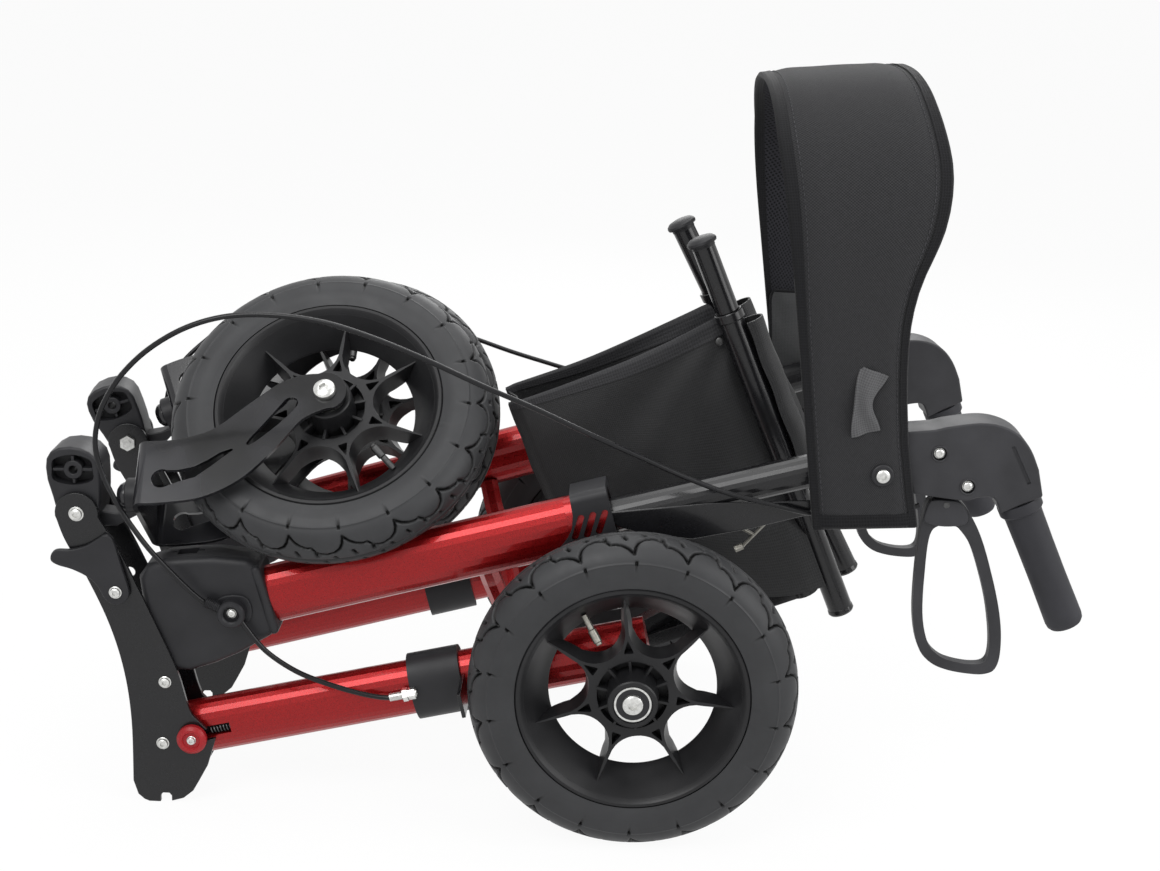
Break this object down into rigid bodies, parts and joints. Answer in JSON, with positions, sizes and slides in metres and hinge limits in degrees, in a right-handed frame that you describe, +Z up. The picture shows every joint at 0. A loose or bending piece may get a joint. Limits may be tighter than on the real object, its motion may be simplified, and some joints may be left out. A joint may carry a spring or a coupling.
{
  "type": "outdoor rollator",
  "caption": "Folded outdoor rollator with large air-filled wheels, red oval tubes, folding caster heads, adjustable handles with looped brake levers, seat rails, bag and backrest strap.",
  "frame": {"origin": "centre of the bounding box on the floor", "axes": "+X from the head plates to the grips, +Y from the left frame to the right frame, +Z up"},
  "size_m": [0.8306, 0.4178, 0.602],
  "materials": {
    "black_enamel": "glossy black enamel",
    "black_plastic": "fine-grained black moulding",
    "red_paint": "metallic deep red lacquer",
    "red_plastic": "satin red moulding",
    "zinc": "bright zinc plating",
    "tyre_rubber": "dark grey rubber with a moulded tread",
    "grip_rubber": "matte textured rubber",
    "cable_sheath": "satin black sheath",
    "black_fabric": "woven black polyester with bound edges"
  },
  "bodies": {
    "frame_left": {"plate_outer_left": "black_enamel", "plate_inner_left": "black_enamel", "frame_housing_left": "black_plastic", "main_tube_left": "red_paint", "saddle_collar_left": "black_plastic", "upper_tube_left": "black_enamel", "head_pivot_bolt_left": "zinc", "leg_pivot_bolt_left": "zinc", "brake_cable_left": "cable_sheath", "backrest": "black_fabric", "seat_bag": "black_fabric"},
    "rear_leg_left": {"rear_leg_left": "red_paint", "leg_clamp_left": "black_plastic", "rear_axle_left": "zinc"},
    "brake_shoe_left": {"brake_shoe_left": "black_enamel"},
    "release_knob_left": {"release_knob_left": "red_plastic"},
    "rear_wheel_left": {"rear_tyre_left": "tyre_rubber", "rear_rim_left": "black_plastic"},
    "caster_head_left": {"caster_head_left": "black_plastic"},
    "caster_fork_left": {"caster_fork_left": "black_enamel", "front_axle_left": "zinc"},
    "front_wheel_left": {"front_tyre_left": "tyre_rubber", "front_rim_left": "black_plastic"},
    "handle_left": {"handle_body_left": "black_plastic", "grip_left": "grip_rubber"},
    "brake_lever_left": {"brake_lever_left": "black_plastic"},
    "latch_lever_left": {"latch_lever_left": "black_plastic"},
    "brace_arm_left": {"brace_arm_left": "black_enamel"},
    "seat_rail_left": {"seat_rail_left": "black_enamel", "rail_end_left": "black_enamel"},
    "frame_right": {"plate_outer_right": "black_enamel", "plate_inner_right": "black_enamel", "frame_housing_right": "black_plastic", "main_tube_right": "red_paint", "saddle_collar_right": "black_plastic", "upper_tube_right": "black_enamel", "head_pivot_bolt_right": "zinc", "leg_pivot_bolt_right": "zinc", "brake_cable_right": "cable_sheath"},
    "rear_leg_right": {"rear_leg_right": "red_paint", "leg_clamp_right": "black_plastic", "rear_axle_right": "zinc"},
    "brake_shoe_right": {"brake_shoe_right": "black_enamel"},
    "release_knob_right": {"release_knob_right": "red_plastic"},
    "rear_wheel_right": {"rear_tyre_right": "tyre_rubber", "rear_rim_right": "black_plastic"},
    "caster_head_right": {"caster_head_right": "black_plastic"},
    "caster_fork_right": {"caster_fork_right": "black_enamel", "front_axle_right": "zinc"},
    "front_wheel_right": {"front_tyre_right": "tyre_rubber", "front_rim_right": "black_plastic"},
    "handle_right": {"handle_body_right": "black_plastic", "grip_right": "grip_rubber"},
    "brake_lever_right": {"brake_lever_right": "black_plastic"},
    "latch_lever_right": {"latch_lever_right": "black_plastic"},
    "brace_arm_right": {"brace_arm_right": "black_enamel"},
    "seat_rail_right": {"seat_rail_right": "black_enamel", "rail_end_right": "black_enamel"}
  },
  "joints": [
    {"name": "frame_spread", "type": "slide", "parent": "frame_left", "child": "frame_right", "axis": [0, 1, 0], "range_m": [0, 0.15], "deforming": ["backrest", "seat_bag"]},
    {"name": "brace_arm_left_fold", "type": "hinge", "parent": "frame_left", "child": "brace_arm_left", "pos_m": [-0.01909, -0.018, 0.06805], "axis": [-0.4384, 0, 0.8988], "range_deg": [0, 53]},
    {"name": "seat_rail_right_level", "type": "hinge", "parent": "brace_arm_left", "child": "seat_rail_right", "pos_m": [0.21924, 0.03, 0.18429], "axis": [-0.4384, 0, 0.8988], "range_deg": [-53, 0]},
    {"name": "brace_arm_right_fold", "type": "hinge", "parent": "frame_right", "child": "brace_arm_right", "pos_m": [-0.01369, 0.018, 0.057], "axis": [0.4384, 0, -0.8988], "range_deg": [0, 53]},
    {"name": "seat_rail_left_level", "type": "hinge", "parent": "brace_arm_right", "child": "seat_rail_left", "pos_m": [0.21029, -0.03, 0.16624], "axis": [0.4384, 0, -0.8988], "range_deg": [-53, 0]},
    {"name": "rear_leg_left_unfold", "type": "hinge", "parent": "frame_left", "child": "rear_leg_left", "pos_m": [-0.31541, -0.10152, 0.0524], "axis": [0.0551, 0.9985, 0], "range_deg": [0, 104], "deforming": ["brake_cable_left"]},
    {"name": "release_knob_left_pull", "type": "slide", "parent": "rear_leg_left", "child": "release_knob_left", "axis": [0.9688, -0.0535, 0.2419], "range_m": [0, 0.014], "stiffness_N_per_m": 400, "springref_m": -0.004},
    {"name": "rear_wheel_left_spin", "type": "hinge", "parent": "rear_leg_left", "child": "rear_wheel_left", "pos_m": [0.05767, -0.17219, 0.13], "axis": [0.0551, 0.9985, 0], "continuous": true},
    {"name": "brake_shoe_left_press", "type": "slide", "parent": "rear_leg_left", "child": "brake_shoe_left", "axis": [0.9688, -0.0535, 0.2419], "range_m": [0, 0.0012]},
    {"name": "caster_head_left_unfold", "type": "hinge", "parent": "frame_left", "child": "caster_head_left", "pos_m": [-0.37911, -0.098, 0.2451], "axis": [-0.0551, -0.9985, 0], "range_deg": [0, 201.8], "deforming": ["brake_cable_left", "brake_cable_right"]},
    {"name": "caster_left_swivel", "type": "hinge", "parent": "caster_head_left", "child": "caster_fork_left", "pos_m": [-0.32981, -0.10072, 0.25564], "axis": [0.9958, -0.055, 0.0732], "range_deg": [-12, 0]},
    {"name": "front_wheel_left_spin", "type": "hinge", "parent": "caster_fork_left", "child": "front_wheel_left", "pos_m": [-0.18678, -0.06046, 0.31418], "axis": [0.0907, 0.7032, -0.7052], "continuous": true},
    {"name": "handle_left_height", "type": "slide", "parent": "frame_left", "child": "handle_left", "axis": [0.9588, -0.0529, 0.279], "range_m": [0, 0.1], "deforming": ["brake_cable_left"]},
    {"name": "brake_lever_left_squeeze", "type": "hinge", "parent": "handle_left", "child": "brake_lever_left", "pos_m": [0.29856, -0.13542, 0.279], "axis": [-0.0551, -0.9985, 0], "range_deg": [0, 10], "stiffness_Nm_per_rad": 2, "springref_deg": -8.59, "deforming": ["brake_cable_left"]},
    {"name": "latch_lever_left_release", "type": "hinge", "parent": "frame_left", "child": "latch_lever_left", "pos_m": [-0.34885, -0.09967, 0.1831], "axis": [0.0551, 0.9985, 0], "range_deg": [0, 12], "stiffness_Nm_per_rad": 0.6, "springref_deg": -11.46},
    {"name": "rear_leg_right_unfold", "type": "hinge", "parent": "frame_right", "child": "rear_leg_right", "pos_m": [-0.31541, 0.10152, 0.0524], "axis": [-0.0551, 0.9985, 0], "range_deg": [0, 104], "deforming": ["brake_cable_right"]},
    {"name": "release_knob_right_pull", "type": "slide", "parent": "rear_leg_right", "child": "release_knob_right", "axis": [0.9688, 0.0535, 0.2419], "range_m": [0, 0.014], "stiffness_N_per_m": 400, "springref_m": -0.004},
    {"name": "rear_wheel_right_spin", "type": "hinge", "parent": "rear_leg_right", "child": "rear_wheel_right", "pos_m": [0.05767, 0.17219, 0.13], "axis": [-0.0551, 0.9985, 0], "continuous": true},
    {"name": "brake_shoe_right_press", "type": "slide", "parent": "rear_leg_right", "child": "brake_shoe_right", "axis": [0.9688, 0.0535, 0.2419], "range_m": [0, 0.0012]},
    {"name": "caster_head_right_unfold", "type": "hinge", "parent": "frame_right", "child": "caster_head_right", "pos_m": [-0.37911, 0.098, 0.2451], "axis": [0.0551, -0.9985, 0], "range_deg": [0, 183.7], "deforming": ["brake_cable_right", "brake_cable_left"]},
    {"name": "caster_right_swivel", "type": "hinge", "parent": "caster_head_right", "child": "caster_fork_right", "pos_m": [-0.33552, 0.10041, 0.27046], "axis": [0.9238, 0.051, 0.3795], "range_deg": [-10, 5]},
    {"name": "front_wheel_right_spin", "type": "hinge", "parent": "caster_fork_right", "child": "front_wheel_right", "pos_m": [-0.17898, 0.06902, 0.27439], "axis": [-0.1781, -0.8201, 0.5438], "continuous": true},
    {"name": "handle_right_height", "type": "slide", "parent": "frame_right", "child": "handle_right", "axis": [0.9588, 0.0529, 0.279], "range_m": [0, 0.1], "deforming": ["brake_cable_right"]},
    {"name": "brake_lever_right_squeeze", "type": "hinge", "parent": "handle_right", "child": "brake_lever_right", "pos_m": [0.29856, 0.13542, 0.279], "axis": [0.0551, -0.9985, 0], "range_deg": [0, 10], "stiffness_Nm_per_rad": 2, "springref_deg": -8.59, "deforming": ["brake_cable_right"]},
    {"name": "latch_lever_right_release", "type": "hinge", "parent": "frame_right", "child": "latch_lever_right", "pos_m": [-0.34885, 0.09967, 0.1831], "axis": [-0.0551, 0.9985, 0], "range_deg": [0, 12], "stiffness_Nm_per_rad": 0.6, "springref_deg": -11.46}
  ],
  "couplings": [
    {"joint": "brace_arm_left_fold", "follows": "frame_spread", "rad_per_m": 6.0505},
    {"joint": "seat_rail_right_level", "follows": "frame_spread", "rad_per_m": -6.0505},
    {"joint": "brace_arm_right_fold", "follows": "frame_spread", "rad_per_m": 6.0505},
    {"joint": "seat_rail_left_level", "follows": "frame_spread", "rad_per_m": -6.0505},
    {"joint": "brake_shoe_left_press", "follows": "brake_lever_left_squeeze", "m_per_rad": 0.006303},
    {"joint": "brake_shoe_right_press", "follows": "brake_lever_right_squeeze", "m_per_rad": 0.006303},
    {"joint": "caster_head_right_unfold", "follows": "caster_head_left_unfold", "ratio": 0.9102}
  ]
}
